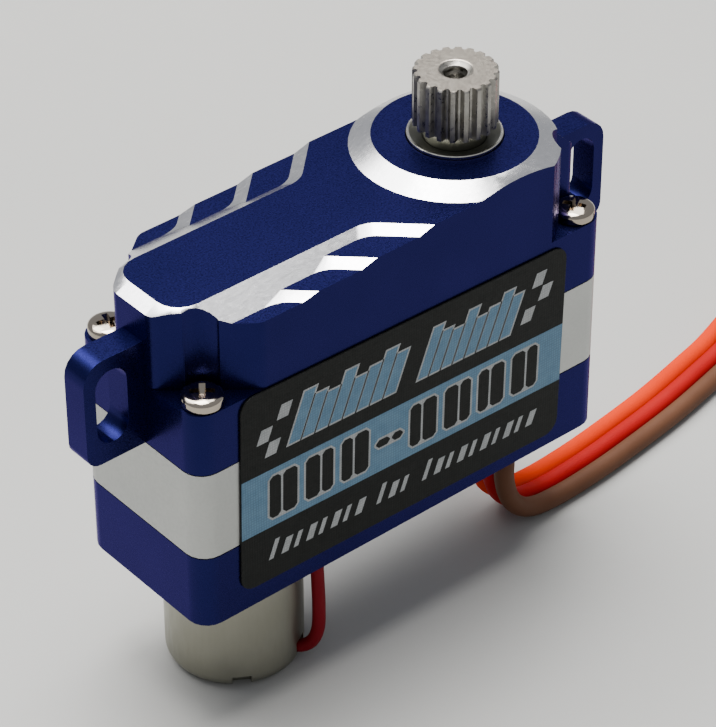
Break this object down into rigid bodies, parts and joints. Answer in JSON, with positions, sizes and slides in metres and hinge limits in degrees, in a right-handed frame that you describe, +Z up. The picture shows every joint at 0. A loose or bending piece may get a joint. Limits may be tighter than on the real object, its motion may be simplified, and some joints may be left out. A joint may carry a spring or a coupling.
{
  "type": "servo motor",
  "caption": "Slim flat servo motor with a three-part metal case, end lugs, a splined output shaft on a ball bearing, a round motor below the case and a flat three-wire lead with a plug.",
  "frame": {"origin": "middle of the case's plan, on the surface that the motor can's lower end stands on", "axes": "+X along the case from the motor end to the output shaft, +Y across the thickness away from the label, +Z up along the output shaft"},
  "size_m": [0.1183, 0.011, 0.0306],
  "materials": {
    "blue_anodised": "anodised blue over a fine bead-blasted surface, satin",
    "bare_aluminium": "bare machined aluminium with fine tool marks",
    "case_steel": "drawn and plated steel, satin",
    "gear_steel": "cut gear steel",
    "bright_steel": "ground bright steel",
    "brass": "cut brass",
    "copper": "varnished copper wire",
    "magnet": "nickel-plated magnet",
    "board": "green circuit board",
    "black_plastic": "moulded black plastic",
    "black_rubber": "soft black rubber",
    "sticker": "printed film over a dark weave",
    "brown_wire": "brown wire insulation",
    "red_wire": "red wire insulation",
    "orange_wire": "orange wire insulation"
  },
  "bodies": {
    "case": {"board_capacitor": "black_plastic", "bottom_cover": "blue_anodised", "case_screw_1": "case_steel", "case_screw_2": "case_steel", "case_screw_3": "case_steel", "case_screw_4": "case_steel", "circuit_board": "board", "controller_chip": "black_plastic", "driver_chip": "black_plastic", "gear_pin_a": "bright_steel", "gear_pin_b": "bright_steel", "label": "sticker", "lead_brown": "brown_wire", "lead_grommet": "black_rubber", "lead_hank": "red_wire", "lead_orange": "orange_wire", "lead_red": "red_wire", "lead_tail_brown": "brown_wire", "lead_tail_orange": "orange_wire", "lead_tail_red": "red_wire", "lead_tie": "black_plastic", "lower_bearing_outer": "bright_steel", "middle_case": "bare_aluminium", "motor_brush_1": "brass", "motor_brush_2": "brass", "motor_can": "case_steel", "motor_end_cap": "black_plastic", "motor_front_bush": "brass", "motor_lead_black": "black_rubber", "motor_lead_red": "red_wire", "motor_magnet": "magnet", "motor_rear_bush": "brass", "plug_contact_1": "bright_steel", "plug_contact_2": "bright_steel", "plug_contact_3": "bright_steel", "plug_housing": "black_plastic", "pot_body": "black_plastic", "top_case": "blue_anodised", "upper_bearing_outer": "bright_steel"},
    "rotor": {"motor_shaft": "bright_steel", "motor_winding": "copper", "motor_pinion": "brass"},
    "first_stage": {"gear_1": "brass"},
    "second_stage": {"gear_2": "gear_steel"},
    "third_stage": {"gear_3": "gear_steel"},
    "fourth_stage": {"gear_4": "gear_steel"},
    "output": {"output_gear": "gear_steel", "output_shaft": "gear_steel", "shaft_washer": "bright_steel", "upper_bearing_inner": "bright_steel", "lower_bearing_inner": "bright_steel", "pot_wiper": "brass"},
    "upper_ball_set": {"upper_bearing_balls": "brass"},
    "lower_ball_set": {"lower_bearing_balls": "brass"}
  },
  "joints": [
    {"name": "motor_spin", "type": "hinge", "parent": "case", "child": "rotor", "pos_m": [-0.0081, 0, 0.01], "axis": [0, 0, 1], "range_deg": [-12989, 12989]},
    {"name": "gear_1_spin", "type": "hinge", "parent": "case", "child": "first_stage", "pos_m": [-0.0031, 0, 0.0185], "axis": [0, 0, 1], "range_deg": [-4101.9, 4101.9]},
    {"name": "gear_2_spin", "type": "hinge", "parent": "case", "child": "second_stage", "pos_m": [0.002, 0, 0.0195], "axis": [0, 0, 1], "range_deg": [-1262.2, 1262.2]},
    {"name": "gear_3_spin", "type": "hinge", "parent": "case", "child": "third_stage", "pos_m": [-0.0031, 0, 0.021], "axis": [0, 0, 1], "range_deg": [-388.5, 388.5]},
    {"name": "gear_4_spin", "type": "hinge", "parent": "case", "child": "fourth_stage", "pos_m": [0.002, 0, 0.022], "axis": [0, 0, 1], "range_deg": [-133, 133]},
    {"name": "output_turn", "type": "hinge", "parent": "case", "child": "output", "pos_m": [0.0074, 0, 0.027], "axis": [0, 0, 1], "range_deg": [-60, 60]},
    {"name": "upper_balls_turn", "type": "hinge", "parent": "case", "child": "upper_ball_set", "pos_m": [0.0074, 0, 0.0255], "axis": [0, 0, 1], "range_deg": [-27, 27]},
    {"name": "lower_balls_turn", "type": "hinge", "parent": "case", "child": "lower_ball_set", "pos_m": [0.0074, 0, 0.0166], "axis": [0, 0, 1], "range_deg": [-25.9, 25.9]}
  ],
  "couplings": [
    {"joint": "gear_1_spin", "follows": "motor_spin", "ratio": -0.31579},
    {"joint": "gear_2_spin", "follows": "motor_spin", "ratio": 0.097166},
    {"joint": "gear_3_spin", "follows": "motor_spin", "ratio": -0.029897},
    {"joint": "gear_4_spin", "follows": "motor_spin", "ratio": 0.010228},
    {"joint": "output_turn", "follows": "motor_spin", "ratio": -0.0046191},
    {"joint": "upper_balls_turn", "follows": "motor_spin", "ratio": -0.0020679},
    {"joint": "lower_balls_turn", "follows": "motor_spin", "ratio": -0.0019796}
  ]
}
